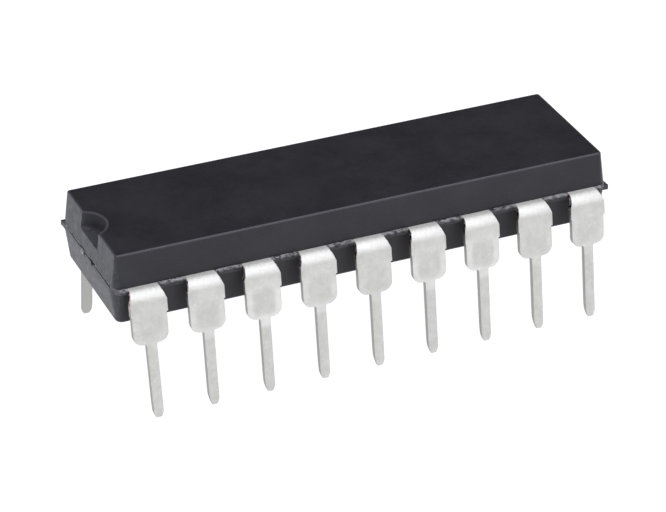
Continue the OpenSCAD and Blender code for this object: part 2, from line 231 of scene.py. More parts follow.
def start_material(name):
    material = bpy.data.materials.new(name)
    material.use_nodes = True
    return material, material.node_tree, material.node_tree.nodes["Principled BSDF"]


# %% [markdown]
# ## Shared effects
# Two effects come back in most finishes of this part. Grain is the fine, even roughness of a spark-
# eroded mould or of matt tin, and its highest cells also give specks. Clouds are broad, soft changes
# of tone from handling and plating. Both measure their size in millimetres, so the same number means
# the same size in every material.
# %% Grain and clouds
SPECK_EDGE = 0.16


def grain_group():
    group, given, result = new_group(
        "fine_grain", [("Cells per mm", 20.0), ("Roughness", 0.6), ("Spread", 0.5), ("Speck level", 0.56)],
        ["Height", "Specks"])
    fine = add(group, "ShaderNodeTexNoise", {
        "Vector": place_mm(group), "Scale": given["Cells per mm"], "Detail": 3.0,
        "Roughness": given["Roughness"], "Distortion": given["Spread"]})
    full = maths(group, "ADD", given["Speck level"], SPECK_EDGE)
    feed(group, fine.outputs["Fac"], result["Height"])
    feed(group, ramp(group, fine.outputs["Fac"], given["Speck level"], full), result["Specks"])
    return group


def cloud_group():
    group, given, result = new_group(
        "soft_clouds", [("Size in mm", 2.0), ("Low", 0.35), ("High", 0.65)], ["Mask"])
    broad = add(group, "ShaderNodeTexNoise", {
        "Vector": place_mm(group), "Scale": maths(group, "DIVIDE", 1.0, given["Size in mm"]),
        "Detail": 4.0, "Roughness": 0.55})
    mask = ramp(group, broad.outputs["Fac"], given["Low"], given["High"], smooth=True)
    feed(group, mask, result["Mask"])
    return group


grain = grain_group()
clouds = cloud_group()
print("groups:", grain.name, clouds.name)

# %% [markdown]
# ## Places on the body
# Handling rubs the edges of the top face, along the four sides and round the notch, and a band there
# is painted paler: partly wear, partly a painted highlight. The notch stays chalky, with small pale
# specks at the foot of its wall that are painted glints, and both ends are scuffed. Such places could
# be painted by hand. But the body is a plain drafted block, so they are found from the position alone:
# how far a point lies past an end or a side, how far inside the rim of the notch, and how high. Each
# mask fades between two of these distances, and fits whatever the mesh is like.
# %% Sizes of the body in millimetres
BODY_HALF_L, BODY_HALF_W, BODY_TOP, UPPER_H, DRAFT, HALF_STEP = 11.4, 3.27, 7.2, 1.52, 0.12, 0.04
NOTCH_R, NOTCH_REACH, NOTCH_DEPTH = 1.13, 0.86, 0.76
BODY_SIZES = {
    "Half length": BODY_HALF_L - DRAFT * UPPER_H, "Half width": BODY_HALF_W - DRAFT * UPPER_H,
    "Top": BODY_TOP, "Band": 0.11, "Notch x": NOTCH_REACH - NOTCH_R - BODY_HALF_L,
    "Notch radius": NOTCH_R, "Notch floor": BODY_TOP - NOTCH_DEPTH}
print("notch: %.2f mm long and %.2f mm deep" % (NOTCH_REACH, NOTCH_DEPTH))

# %% [markdown]
# One group works out all the masks, since they share the same distances. Each mask goes from 0 to 1
# between the two distances in its pair. The flash is whatever stands out further than the upper half
# of the body does.
# %% Masks for the places on the body
FLASH_FROM = DRAFT * UPPER_H + HALF_STEP + 0.005
ON_FLASH, ON_END = (FLASH_FROM, FLASH_FROM + 0.02), (-0.12, -0.02)
INSIDE_RIM, ABOVE_FLOOR, AT_FOOT, AT_WALL = (-0.03, 0.02), (-0.04, -0.02), (0.14, 0.04), (0.42, 0.3)


def body_places_group():
    group, given, result = new_group(
        "body_places",
        [("Half length", 11.2), ("Half width", 3.1), ("Top", 7.2), ("Band", 0.1), ("Notch x", -11.7),
         ("Notch radius", 1.1), ("Notch floor", 6.4)],
        ["Rubbed edge", "In notch", "Notch foot", "On end", "On flash"])
    x, y, z = axes_mm(group)
    past_end = maths(group, "SUBTRACT", maths(group, "ABSOLUTE", x), given["Half length"])
    past_side = maths(group, "SUBTRACT", maths(group, "ABSOLUTE", y), given["Half width"])
    furthest_out = maths(group, "MAXIMUM", past_end, past_side)
    from_notch = maths(group, "SUBTRACT", x, given["Notch x"])
    from_middle = add(group, "ShaderNodeCombineXYZ", {0: from_notch, 1: y}).outputs[0]
    inside_rim = maths(group, "SUBTRACT", given["Notch radius"], vector_maths(group, "LENGTH", from_middle))
    over_floor = maths(group, "SUBTRACT", z, given["Notch floor"])

    # The band along the edges of the top face and the notch rim is painted paler: wear and a painted
    # highlight.
    near_edge = ramp(group, maths(group, "MAXIMUM", furthest_out, inside_rim),
                     maths(group, "MULTIPLY", given["Band"], -1.0), 0.0, smooth=True)
    band_foot = maths(group, "SUBTRACT", given["Top"], given["Band"])
    near_top = ramp(group, z, band_foot, given["Top"], smooth=True)
    in_notch = maths(group, "MULTIPLY", ramp(group, inside_rim, *INSIDE_RIM),
                     ramp(group, over_floor, *ABOVE_FLOOR))
    at_foot = maths(group, "MULTIPLY", ramp(group, over_floor, *AT_FOOT), ramp(group, inside_rim, *AT_WALL))
    feed(group, maths(group, "MULTIPLY", near_edge, near_top), result["Rubbed edge"])
    feed(group, in_notch, result["In notch"])
    feed(group, maths(group, "MULTIPLY", in_notch, at_foot), result["Notch foot"])
    feed(group, ramp(group, past_end, *ON_END), result["On end"])
    feed(group, ramp(group, furthest_out, *ON_FLASH), result["On flash"])
    return group


body_places = body_places_group()
print("group:", body_places.name)

# %% [markdown]
# ## Black moulding compound
# The body is epoxy filled with crushed silica. It is nearly black with a slight violet cast, and rare
# paler specks are grains of silica at the surface. Where the resin tore, its broken grains are much
# paler. Their paleness is strongest on the crest of the tear and faint below it, which is painted
# light from above. Both resins share two effects, which are groups of their own. Broad clouds from the
# flow of the resin and small ones from release wax change the gloss, and the notch is the most matt
# place of all. Each end is scuffed in soft clouds with small flecks.
# %% Flow, wax and scuffs
FLOW_MM, WAX_MM, FLOW_WEIGHT = 2.4, 0.45, 0.45
SMOOTHER, ROUGHER, NOTCH_MATT = 0.025, 0.03, 0.28
SCUFF_MM, FLECKS_PER_MM, FLECK_SHARE = 0.35, 6.0, 0.45


def resin_flow_group():
    group, given, result = new_group(
        "resin_flow", [("Roughness", 0.5), ("In notch", 0.0)], ["Flow", "Roughness"])
    flow = place_group(group, clouds, {"Size in mm": FLOW_MM, "Low": 0.3, "High": 0.7})["Mask"]
    wax = place_group(group, clouds, {"Size in mm": WAX_MM, "Low": 0.35, "High": 0.65})["Mask"]
    least = maths(group, "SUBTRACT", given["Roughness"], SMOOTHER)
    most = maths(group, "ADD", given["Roughness"], ROUGHER)
    mottled = ramp(group, maths(group, "MULTIPLY_ADD", flow, FLOW_WEIGHT, wax), 0.0, 1 + FLOW_WEIGHT,
                   least, most)
    feed(group, flow, result["Flow"])
    feed(group, maths(group, "MULTIPLY_ADD", given["In notch"], NOTCH_MATT, mottled), result["Roughness"])
    return group


def end_scuffs_group():
    group, given, result = new_group("end_scuffs", [("On end", 0.0)], ["Scuffs"])
    soft = place_group(group, clouds, {"Size in mm": SCUFF_MM, "Low": 0.15, "High": 1.0})
    flecks = place_group(
        group, grain, {"Cells per mm": FLECKS_PER_MM, "Roughness": 0.7, "Speck level": 0.46})
    flecked = maths(group, "MULTIPLY_ADD", flecks["Specks"], FLECK_SHARE, soft["Mask"])
    feed(group, maths(group, "MULTIPLY", flecked, given["On end"]), result["Scuffs"])
    return group


resin_flow = resin_flow_group()
end_scuffs = end_scuffs_group()
print("groups:", resin_flow.name, end_scuffs.name)

# %% [markdown]
# The moulded face and the torn one differ in where they are pale. On the face it is the edges, worn
# and with a painted highlight, the chalky notch and the painted glints at the foot of its wall. On a
# tear it is only the crest, which is painted lighter as if lit from above.
# %% Where each resin is pale
NOTCH_CHALK, FOOT_GLINTS_PER_MM = 0.4, 4.0
TOP_LIT_CREST, SHADED_BELOW_CREST = (5.58, 5.69), 0.1


def moulded_paleness(tree, amount, places):
    wear_and_highlight = maths(tree, "ADD", places["Rubbed edge"], amount)
    chalky = maths(tree, "MULTIPLY_ADD", places["In notch"], NOTCH_CHALK, wear_and_highlight)
    # The pale specks at the foot of the notch wall are painted glints.
    foot_glints = place_group(tree, grain, {"Cells per mm": FOOT_GLINTS_PER_MM, "Speck level": 0.5})
    return maths(tree, "ADD", chalky, maths(tree, "MULTIPLY", foot_glints["Specks"], places["Notch foot"]))


def torn_specks_and_top_light(tree, amount):
    height = axes_mm(tree)["Z"]
    # The top of the tear is painted lighter and the part below it darker: painted light from above.
    return maths(tree, "MULTIPLY", ramp(tree, height, *TOP_LIT_CREST, low=SHADED_BELOW_CREST), amount)


# %% [markdown]
# One plain dark colour would look like paint. Dark plastics are mostly seen by what they mirror, so
# the grain works through roughness and bump more than through colour. The scuffed ends are also
# burnished, which a thin coat gives.
# %% Mix the two resins
FLOW_PALE, BURNISH, RESIN_IOR, RESIN_BUMP = 0.12, 0.45, 1.52, 0.5


def moulding_compound(name, dark, pale, scuff, roughness, cells_per_mm, bump_mm, specks, level, torn=False):
    material, tree, shader = start_material(name)
    fine = place_group(tree, grain, {"Cells per mm": cells_per_mm, "Roughness": 0.7, "Speck level": level})
    places = place_group(tree, body_places, BODY_SIZES)
    gloss = place_group(tree, resin_flow, {"Roughness": roughness, "In notch": places["In notch"]})
    scuffed = place_group(tree, end_scuffs, {"On end": places["On end"]})["Scuffs"]

    silica = maths(tree, "MULTIPLY", fine["Specks"], specks)
    amount = maths(tree, "MULTIPLY_ADD", gloss["Flow"], FLOW_PALE, silica)
    paleness = torn_specks_and_top_light(tree, amount) if torn else moulded_paleness(tree, amount, places)
    bluish = scuffed if torn else maths(tree, "MAXIMUM", scuffed, places["On flash"])
    feed(tree, mix(tree, bluish, mix(tree, paleness, dark, pale), scuff), shader.inputs["Base Color"])

    feed(tree, gloss["Roughness"], shader.inputs["Roughness"])
    feed(tree, maths(tree, "MULTIPLY", scuffed, BURNISH, clamp=True), shader.inputs["Coat Weight"])
    bump = add(tree, "ShaderNodeBump",
               {"Strength": RESIN_BUMP, "Distance": bump_mm * MM, "Height": fine["Height"]})
    feed(tree, bump.outputs["Normal"], shader.inputs["Normal"])
    shader.inputs["IOR"].default_value = RESIN_IOR
    shader.inputs["Coat Roughness"].default_value = roughness
    return material


black_epoxy = moulding_compound(
    "black_epoxy", dark=(0.0052, 0.0047, 0.008, 1), pale=(0.06, 0.058, 0.07, 1),
    scuff=(0.026, 0.031, 0.04, 1), roughness=0.49, cells_per_mm=22, bump_mm=0.004, specks=0.35, level=0.56)
torn_epoxy = moulding_compound(
    "torn_epoxy", dark=(0.016, 0.015, 0.02, 1), pale=(0.36, 0.358, 0.365, 1),
    scuff=(0.1, 0.1, 0.11, 1), roughness=0.62, cells_per_mm=5, bump_mm=0.025, specks=0.9, level=0.4,
    torn=True)
nodes["body"].data.materials[0] = black_epoxy
print("finishes of the resin:", black_epoxy.name, torn_epoxy.name)

# %% [markdown]
# ## The leads: a flat blank first
# A lead is stamped from sheet, so it is easiest to draw flat and bend afterwards. The drawing holds
# x across the lead and q along it, with q = 0 at the side of the body. The finger inside the body
# has negative q. Outside come the root, the bend, the stub of the dam bar that was cut away, the
# shoulder with two round corners, and the pin. The sizes repeat the solids', apart from the tips.
# %% Sizes of the leads in millimetres
PITCH, PER_ROW = 2.54, 9
SHEET_T, SHEET_TOP = 0.25, 5.68
SIDE = 6.54 / 2
BEND_RUN, BEND_R, SPLAY = 0.2, 0.48, math.radians(7.7)
EXIT_W, BEND_W, SHOULDER_W, PIN_W, TIP_W = 1.32, 1.38, 1.56, 0.46, 0.2
SHOULDER_R, CROTCH_R, TIP_L, TIP_CUT, TIP_TAPER = 0.42, 0.08, 0.3, 1.4, 0.8
PIN_L, DAM_LOW, DAM_OUT, DAM_SHIFT = 3.37, 4.67, 0.045, 0.02
FIRST_LEAN = math.radians(0.7)

BEND_ANGLE = math.pi / 2 - SPLAY
BEND_END = BEND_RUN + BEND_R * BEND_ANGLE
LEG_TOP = SHEET_TOP - BEND_R + BEND_R * math.sin(SPLAY)
print("bend ends at q = %.3f mm, height %.3f mm" % (BEND_END, LEG_TOP))


def along_leg(z):
    """Place along the blank of a height on the leg's outer face."""
    return BEND_END + (LEG_TOP - z) / math.cos(SPLAY)


# %% [markdown]
# The fingers fan in from the roots to the die pad. Each is a strip of changing width along a path of
# straight runs. The five fingers in the middle of a row reach the long side of the pad, and the others
# its ends. The two edges of a finger are found by moving every corner of its path sideways along the
# line that halves the angle between the runs.
# %% Fingers inside the body
ROOT_L, PAD_L, PAD_W, FINGER_GAP = 0.45, 4.0, 2.6, 0.3
ROOM = SIDE - ROOT_L - PAD_W / 2 - FINGER_GAP
FINGER_W, FINGER_TIP_W = 0.38 * ROOM, 0.23 * ROOM
MIDDLE_FIVE, TIP_PITCH, END_TIP_PITCH, END_RUN = 2.2, 0.85, 0.5, 1.05
KNEE, END_KNEE, KNEE_STEP = 0.27 * ROOM, 0.77 * ROOM, 0.25 * ROOM


def finger_path(place):
    """Corners (x, q) and half widths, from the fingertip out to the side of the body."""
    x, s, rank = place * PITCH, (place > 0) - (place < 0), (PER_ROW + 1) / 2 - abs(place)
    if abs(place) < MIDDLE_FIVE:
        inner = [(place * TIP_PITCH, -ROOT_L - ROOM, FINGER_TIP_W / 2), (x, -ROOT_L - KNEE, FINGER_W / 2)]
    else:
        tip_x, tip_q = s * (PAD_L / 2 + FINGER_GAP), END_TIP_PITCH * rank - SIDE
        inner = [(tip_x, tip_q, FINGER_TIP_W / 2), (tip_x + s * END_RUN, tip_q, FINGER_TIP_W / 2),
                 (x, -ROOT_L - END_KNEE + KNEE_STEP * (rank - 1), FINGER_W / 2)]
    return inner + [(x, -ROOT_L, EXIT_W / 2), (x, 0.0, EXIT_W / 2)]


def path_edges(path):
    """Points to the left and to the right of each corner of a path."""
    lefts, rights = [], []
    for k, (x, q, half) in enumerate(path):
        here = Vector((x, q))
        before = (here - Vector(path[k - 1][:2])).normalized() if k else None
        after = (Vector(path[k + 1][:2]) - here).normalized() if k < len(path) - 1 else None
        a, b = before or after, after or before
        side = Vector((-a.y - b.y, a.x + b.x)) / (1 + a.dot(b)) * half
        lefts.append(here + side)
        rights.append(here - side)
    return lefts, rights


print("fingertip of the first lead at (mm):", [round(v, 2) for v in finger_path(-4)[0][:2]])

# %% [markdown]
# Outside the body both edges of a lead follow one rule, so one function can draw either edge. Two
# things differ from side to side. The cutter of the dam bar stood a little off and left one cut end
# longer, and the tips taper further up on their left side.
# %% Edges from the root to the dam bar
def dam_edge(s):
    """Sideways place of the cut end of the dam bar on side s."""
    return s * (SHOULDER_W / 2 + DAM_OUT) + DAM_SHIFT


def edge_near_bend(s, y, z):
    """Sideways place of an edge, from the plan of the root and from the front view below it."""
    full_y = SIDE + BEND_RUN + BEND_R - SHEET_T
    plan = EXIT_W + (BEND_W - EXIT_W) * (y - SIDE) / (full_y - SIDE) if y < full_y else 2 * SHOULDER_W
    share = (SHEET_TOP - z) / (SHEET_TOP - LEG_TOP)
    return s * min(plan / 2, BEND_W / 2 + (abs(dam_edge(s)) - BEND_W / 2) * share)


print("cut ends of the dam bar at x = %.3f and %.3f mm" % (dam_edge(-1), dam_edge(1)))

# %% [markdown]
# Below the dam bar come the round corners of the shoulder, the crotches beside the pin, and the tip.
# They could be curve objects, but plain points are easier to move inwards later. The corners and the
# crotches are arcs, and the tip is something between a round end and a straight chamfer.
# %% Outline of the blank
BELOW_BEND, CUT_DROP, BEND_STEPS, CORNER_STEPS, CROTCH_STEPS, TIP_STEPS = 0.02, 0.01, 12, 8, 4, 6


def arc(centre, radius, start, end, steps):
    return [(centre[0] + radius * math.cos(a), centre[1] + radius * math.sin(a))
            for a in (math.radians(start + (end - start) * k / steps) for k in range(steps + 1))]


def tip_corner(length):
    """Points (x, z) from the pin's side to the flat end, between a round and a straight cut."""
    side_in = (PIN_W - TIP_W) / 2
    return [(TIP_W / 2 + side_in * math.cos(a) ** TIP_CUT, length * (1 - math.sin(a) ** TIP_CUT))
            for a in (math.radians(90 / TIP_STEPS * k) for k in range(TIP_STEPS + 1))]


def outer_edge(s, lean, tip_l):
    """Points (x, q) of the edge on side s, from the bend down to the tip."""
    points = []
    for k in range(BEND_STEPS + 1):
        a = BEND_ANGLE * k / BEND_STEPS
        y, z = SIDE + BEND_RUN + BEND_R * math.sin(a), SHEET_TOP - BEND_R + BEND_R * math.cos(a)
        points.append((edge_near_bend(s, y, z), BEND_RUN + BEND_R * a))
    leg = [(dam_edge(s), LEG_TOP - BELOW_BEND), (dam_edge(s), DAM_LOW),
           (s * SHOULDER_W / 2, DAM_LOW - CUT_DROP)]
    corner = arc((SHOULDER_W / 2 - SHOULDER_R, PIN_L + SHOULDER_R), SHOULDER_R, 0, -90, CORNER_STEPS)
    crotch = arc((PIN_W / 2 + CROTCH_R, PIN_L - CROTCH_R), CROTCH_R, 90, 180, CROTCH_STEPS)
    leg += [(s * x, z) for x, z in corner]
    turn_c, turn_s = math.cos(lean), math.sin(lean)
    for x, z in crotch + tip_corner(tip_l):
        x, down = s * x, z - PIN_L
        leg.append((x * turn_c - down * turn_s, PIN_L + x * turn_s + down * turn_c))
    return points + [(x, along_leg(z)) for x, z in leg]


def blank_outline(place, lean, left_tip):
    """Closed outline of the flat blank of the lead at that place in its row."""
    lefts, rights = path_edges(finger_path(place))
    middle = Vector((place * PITCH, 0))
    right = list(rights) + [middle + Vector(p) for p in outer_edge(1, lean, TIP_L)]
    left = list(lefts) + [middle + Vector(p) for p in outer_edge(-1, lean, left_tip)]
    return right + left[::-1]


print("outline of lead 1:", len(blank_outline(-4, FIRST_LEAN, TIP_L)), "points")

# %% [markdown]
# ## From blank to lead
# Stamping rolls the edges over on the outer face and leaves them sharper on the inner one. A bevel
# could round them, but it needs clean corners to start from. Here the outline is stacked in layers
# that step inwards near both faces, which always works.
# %% Layers with rounded edges
OUTER_ROLL, INNER_ROLL, SHARPEST = 0.04, 0.02, 0.35


def inset_outline(points, distance):
    """Outline moved inwards; the points run anticlockwise."""
    moved, count = [], len(points)
    for k, here in enumerate(points):
        a = (here - points[k - 1]).normalized()
        b = (points[(k + 1) % count] - here).normalized()
        inward = Vector((-a.y - b.y, a.x + b.x)) / max(1 + a.dot(b), SHARPEST)
        moved.append(here + inward * distance)
    return moved


def rounded_layers(outer_r, inner_r):
    """(inset, depth) from the outer face to the inner face."""
    angles = [math.radians(a) for a in (0, 30, 60, 90)]
    outer = [(outer_r * (1 - math.sin(a)), outer_r * (1 - math.cos(a))) for a in angles]
    inner = [(inner_r * (1 - math.sin(a)), SHEET_T - inner_r * (1 - math.cos(a))) for a in angles[::-1]]
    return outer + inner


print("layers in the sheet:", len(rounded_layers(OUTER_ROLL, INNER_ROLL)))

# %% [markdown]
# A point of the blank finds its bent place from q alone: straight out along the root, round the bend,
# and down the leg at the angle of its splay. The sheet is thinned towards the tip on its inner side,
# which helps the pin into its hole.
# %% Round the bend
THINNEST, EASE_IN = 0.45, 0.4


def bent_place(x, q, depth, row):
    """Where a point of the blank lies on the finished lead. row is -1 in front and 1 at the back."""
    to_tip = (along_leg(0) - q) / TIP_TAPER
    if to_tip < 1:
        depth *= THINNEST + (1 - THINNEST) * math.sin(max(to_tip, 0) * math.pi / 2)
    if q <= BEND_RUN:
        y, z, a = SIDE + q, SHEET_TOP, 0.0
    elif q <= BEND_END:
        a = (q - BEND_RUN) / BEND_R
        y = SIDE + BEND_RUN + BEND_R * math.sin(a)
        z = SHEET_TOP - BEND_R + BEND_R * math.cos(a)
    else:
        a = BEND_ANGLE
        ease = min((q - BEND_END) / EASE_IN, 1.0)
        down = q - BEND_END - depth * math.tan(SPLAY) * ease * ease * (3 - 2 * ease)
        y = SIDE + BEND_RUN + BEND_R * math.sin(a) + down * math.sin(SPLAY)
        z = LEG_TOP - down * math.cos(SPLAY)
    return Vector((x, row * (y - depth * math.sin(a)), max(z - depth * math.cos(a), 0.0)))


print("tips of the two rows are %.2f mm apart" % (2 * bent_place(0, along_leg(0), 0, 1).y))

# %% [markdown]
# The stack becomes a mesh of three kinds of places, which the finish of the leads tells apart later:
# the sheared edge, the inner face, which gets painted shade, and how hard the socket contact pressed.
# Each is stored on the points while the layers are made. Straight cuts across the blank then give the
# bend enough points to turn round.
# %% Stack the layers
FIRST_BARE, LAST_BARE = 2, 5
BEND_CUTS, EASE_CUTS, LEG_CUTS, TIP_CUTS, FINGER_CUTS = 16, 4, 11, 6, 9
LEG_STEP, FINGER_STEP = 0.35, 0.3


def stacked_blank(outline, press):
    shape = bmesh.new()
    bare = shape.verts.layers.float.new("sheared")
    # The inner face is marked so that the tin finish can paint it darker, as shade from the body.
    inner = shape.verts.layers.float.new("shaded_inner_face")
    pressed = shape.verts.layers.float.new("pressed")
    loops = []
    for k, (inset, depth) in enumerate(rounded_layers(OUTER_ROLL, INNER_ROLL)):
        loop = [shape.verts.new((p.x, p.y, -depth)) for p in inset_outline(outline, inset)]
        for v in loop:
            v[bare] = 1.0 if FIRST_BARE <= k <= LAST_BARE else 0.0
            v[inner] = 1.0 if k > LAST_BARE else 0.0
            v[pressed] = press
        loops.append(loop)
    for upper, lower in zip(loops, loops[1:]):
        for k in range(len(outline)):
            shape.faces.new((upper[k - 1], lower[k - 1], lower[k], upper[k]))
    shape.faces.new(loops[0])
    shape.faces.new(loops[-1][::-1])
    return shape


def cut_across(shape):
    """Cuts the blank at the bend, down the leg, at the tip and along the finger."""
    cuts = [BEND_RUN + (BEND_END - BEND_RUN) * k / BEND_CUTS for k in range(BEND_CUTS + 1)]
    cuts += [BEND_END + EASE_IN * k / EASE_CUTS for k in range(1, EASE_CUTS + 1)]
    cuts += [BEND_END + EASE_IN + LEG_STEP * k for k in range(1, LEG_CUTS + 1)]
    cuts += [along_leg(0) - TIP_TAPER * k / TIP_CUTS for k in range(1, TIP_CUTS + 1)]
    cuts += [-FINGER_STEP * k for k in range(FINGER_CUTS)]
    for q in cuts:
        bmesh.ops.bisect_plane(shape, geom=shape.verts[:] + shape.edges[:] + shape.faces[:],
                               plane_co=(0, q, 0), plane_no=(0, 1, 0), dist=1e-6)


# %% [markdown]
# A lead is now cut, bent and made smooth. Its flat drawing is kept as a UV map before the bend, so
# that the finish can follow the sheet round it. Smooth shading alone would make the flat faces look
# swollen beside the rounded edges, so the normals are weighted towards the large faces.
# %% Bend the blank
UV_MM, UV_X, UV_Q = 10, 0.5, 0.3


def blank_uv(x, q):
    return x / UV_MM + UV_X, q / UV_MM + UV_Q


def finished_mesh(name, shape, sharp_angle):
    """Turns a shape into a mesh that is smooth apart from its sharp edges."""
    bmesh.ops.recalc_face_normals(shape, faces=shape.faces[:])
    mesh = bpy.data.meshes.new(name)
    shape.to_mesh(mesh)
    shape.free()
    mesh.shade_smooth()
    mesh.set_sharp_from_angle(angle=math.radians(sharp_angle))
    return mesh


def stamped_lead(name, place, row, press, left_tip, lean=0.0):
    """press is how hard the socket contact marked this lead, from 0 to 1."""
    shape = stacked_blank(blank_outline(place, lean, left_tip), press)
    cut_across(shape)
    blank = shape.loops.layers.uv.new("blank")
    for face in shape.faces:
        for corner in face.loops:
            corner[blank].uv = blank_uv(corner.vert.co.x - place * PITCH, corner.vert.co.y)
    for v in shape.verts:
        v.co = bent_place(v.co.x, v.co.y, -v.co.z, row) * MM
    lead = bpy.data.objects.new(name, finished_mesh(name, shape, sharp_angle=40))
    bpy.context.scene.collection.objects.link(lead)
    lead.modifiers.new("flat_faces", "WEIGHTED_NORMAL").keep_sharp = True
    return lead


# %% [markdown]
# ## Frosted tin
# The leads are copper alloy plated with matt tin. Tin is a plain grey metal, so its look comes from
# many faint things on top of each other. The first is the mark of a test socket: its contact pressed
# a small flat into the lower part of each shoulder and pushed a pale band up round it.
# %% Mark of the socket contact
FLAT_Z, FLAT_HALF_W, FLAT_HALF_H = 4.12, 0.5, 0.62
BAND_INSIDE, BAND_OUTSIDE, BAND_FADES = (0.55, 1.5), (4.2, 2.4), (4.4, 5.0, 1.0, 0.25)


def stored(tree, label):
    """A number that was stored on the points of the leads."""
    return add(tree, "ShaderNodeAttribute", attribute_name=label).outputs["Fac"]


def socket_mark(tree, blank, height):
    """Pale band round the pressed flat, with square corners, weaker towards the bend."""
    from_flat = vector_maths(tree, "SUBTRACT", blank, (*blank_uv(0, along_leg(FLAT_Z)), 0))
    in_flats = vector_maths(tree, "MULTIPLY", from_flat, (UV_MM / FLAT_HALF_W, UV_MM / FLAT_HALF_H, 0))
    reach = vector_maths(tree, "LENGTH", vector_maths(tree, "MULTIPLY", in_flats, in_flats))
    band = maths(tree, "MULTIPLY", ramp(tree, reach, *BAND_INSIDE, smooth=True),
                 ramp(tree, reach, *BAND_OUTSIDE, smooth=True))
    fading = maths(tree, "MULTIPLY", ramp(tree, height, *BAND_FADES), band)
    return maths(tree, "MULTIPLY", fading, stored(tree, "pressed"))


# %% [markdown]
# The faces have frosty flecks and faint warm and cool clouds. Over the bend the colour turns white in
# short streaks along the lead: a little of it is tin stretched pale, most is a painted highlight.
# The inner faces get a darker colour, which is painted shade from the body over them.
# %% Tone of the faces
BEND_STARTS = (LEG_TOP - 0.08, LEG_TOP + 0.2)
STREAK_STRETCH, STREAK_FADES, BETWEEN_STREAKS = (120, 45, 1), (0.3, 0.65), 0.55
CLOUD_SHARE, SPECK_SHARE, BAND_SHARE = 0.3, 0.3, 0.7


def drawn_streaks(tree, blank):
    """Noise on the flat drawing, stretched along the lead."""
    stretched = vector_maths(tree, "MULTIPLY", blank, STREAK_STRETCH)
    return add(tree, "ShaderNodeTexNoise", {"Vector": stretched, "Scale": 1.0, "Detail": 4.0,
                                            "Roughness": 0.65, "Distortion": 1.0}).outputs["Fac"]


def face_tone(tree, height, frost, streaks, mark, cool, warm, bend_highlight_white, inner_face_shade):
    patches = place_group(tree, clouds, {"Size in mm": 0.4, "Low": 0.3, "High": 0.7})
    flecked = maths(tree, "MULTIPLY", frost["Specks"], SPECK_SHARE)
    clouded = maths(tree, "MULTIPLY_ADD", patches["Mask"], CLOUD_SHARE, flecked)
    tint = mix(tree, maths(tree, "MULTIPLY_ADD", mark, BAND_SHARE, clouded), warm, cool)
    streaky = ramp(tree, streaks, *STREAK_FADES, low=BETWEEN_STREAKS)
    bent = ramp(tree, height, *BEND_STARTS, smooth=True)
    # Over the bend the colour is mixed towards white in streaks: a painted highlight.
    stretched = mix(tree, maths(tree, "MULTIPLY", bent, streaky), tint, bend_highlight_white)
    # The inner faces take a darker colour: painted shade from the body above them.
    return mix(tree, stored(tree, "shaded_inner_face"), stretched, inner_face_shade)


# %% [markdown]
# The sheared edges are duller than the faces. Next to the body they were cut after plating, so they
# show copper that has gone brown, with a few crumbs of tin painted brighter than tin, as glints.
# %% Tone of the sheared edges
BESIDE_BODY = (DAM_LOW + 0.3, DAM_LOW + 0.6)


def edge_tone(tree, height, dull, brown, glint):
    crumb_glints = place_group(tree, grain, {"Cells per mm": 5.0, "Speck level": 0.46})
    # Bright specks on the brown copper: crumbs of tin, painted bright as glints.
    copper = mix(tree, crumb_glints["Specks"], brown, glint)
    return mix(tree, ramp(tree, height, *BESIDE_BODY), dull, copper)


# %% [markdown]
# Gloss and relief follow the same streaks and frost as the tone, so that the eye reads them as one
# surface. The stretched skin over the bend is the roughest.
# %% Plate the tin
LEG_ROUGH, ROOT_ROUGH, STREAK_ROUGH = 0.38, 0.66, 0.16
TIN_BUMP_MM, TIN_BUMP, STREAK_RELIEF = 0.018, 0.9, 0.3


def frosted_tin(name, cool, warm, bend_highlight_white, inner_face_shade, dull, brown, glint):
    material, tree, shader = start_material(name)
    shader.inputs["Metallic"].default_value = 1.0
    height = axes_mm(tree)["Z"]
    blank = add(tree, "ShaderNodeUVMap", uv_map="blank").outputs["UV"]
    frost = place_group(tree, grain, {"Cells per mm": 7.0, "Roughness": 0.75, "Speck level": 0.52})
    streaks = drawn_streaks(tree, blank)
    mark = socket_mark(tree, blank, height)
    faces = face_tone(tree, height, frost, streaks, mark, cool, warm, bend_highlight_white, inner_face_shade)
    tone = mix(tree, stored(tree, "sheared"), faces, edge_tone(tree, height, dull, brown, glint))
    feed(tree, tone, shader.inputs["Base Color"])

    rough = ramp(tree, height, BEND_STARTS[0], SHEET_TOP, LEG_ROUGH, ROOT_ROUGH)
    feed(tree, maths(tree, "MULTIPLY_ADD", streaks, STREAK_ROUGH, rough), shader.inputs["Roughness"])
    relief = maths(tree, "MULTIPLY_ADD", streaks, STREAK_RELIEF, frost["Height"])
    bump = add(tree, "ShaderNodeBump",
               {"Strength": TIN_BUMP, "Distance": TIN_BUMP_MM * MM, "Height": relief})
    feed(tree, bump.outputs["Normal"], shader.inputs["Normal"])
    return material


# The white of the bends is a painted highlight, and the darker colour of the inner faces is painted shade.
tin = frosted_tin("frosted_tin", cool=(0.77, 0.77, 0.72, 1), warm=(0.575, 0.575, 0.53, 1),
                  bend_highlight_white=(0.885, 0.885, 0.855, 1), inner_face_shade=(0.44, 0.44, 0.41, 1),
                  dull=(0.36, 0.36, 0.335, 1), brown=(0.05, 0.025, 0.02, 1), glint=(0.95, 0.82, 0.74, 1))
print("finish of the leads:", tin.name)

# %% [markdown]
# ## All eighteen leads
# The leads are numbered round the body, so the back row counts the other way. No two are quite
# alike: the socket pressed some harder, the left side of each tip was sheared to its own length, and
# the first pin leans a little. Each new lead stands for its solid, and for three of them the distance
# between their box and the solid's box is printed.
# %% Stamp the leads
CONTACT_EVERY, TIP_MEAN, TIP_VARIES, TIP_TURN = 3.6, 0.4, 0.1, 2.2


